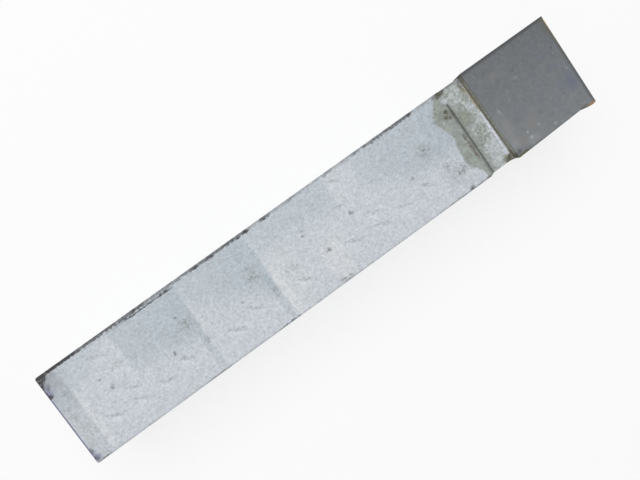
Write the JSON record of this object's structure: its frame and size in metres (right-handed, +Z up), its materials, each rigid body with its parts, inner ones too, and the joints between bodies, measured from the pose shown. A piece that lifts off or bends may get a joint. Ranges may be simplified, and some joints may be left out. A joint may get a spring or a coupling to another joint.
{
  "type": "carbide-tipped tool bit",
  "caption": "Square steel lathe tool with a grey cemented-carbide plate brazed into a seat at its nose; a clamped cutting tool for turning, facing and grooving metal.",
  "frame": {"origin": "middle of the base face, under the middle of the tool's length and width", "axes": "+X along the shank towards the cutting edge, +Y to the left seen from the back end, +Z up out of the face that carries the plate"},
  "size_m": [0.1158, 0.0197, 0.0191],
  "materials": {
    "silver_painted_steel": "thin silver-grey paint over steel, satin, mottled, worn off at the edges and stained near the tip",
    "sintered_carbide": "dark grey sintered and ground carbide, matt",
    "braze_alloy": "brown oxidised braze with orange edges"
  },
  "bodies": {
    "root": {"shank": "silver_painted_steel", "carbide_tip": "sintered_carbide", "braze_joint": "braze_alloy"}
  },
  "joints": []
}
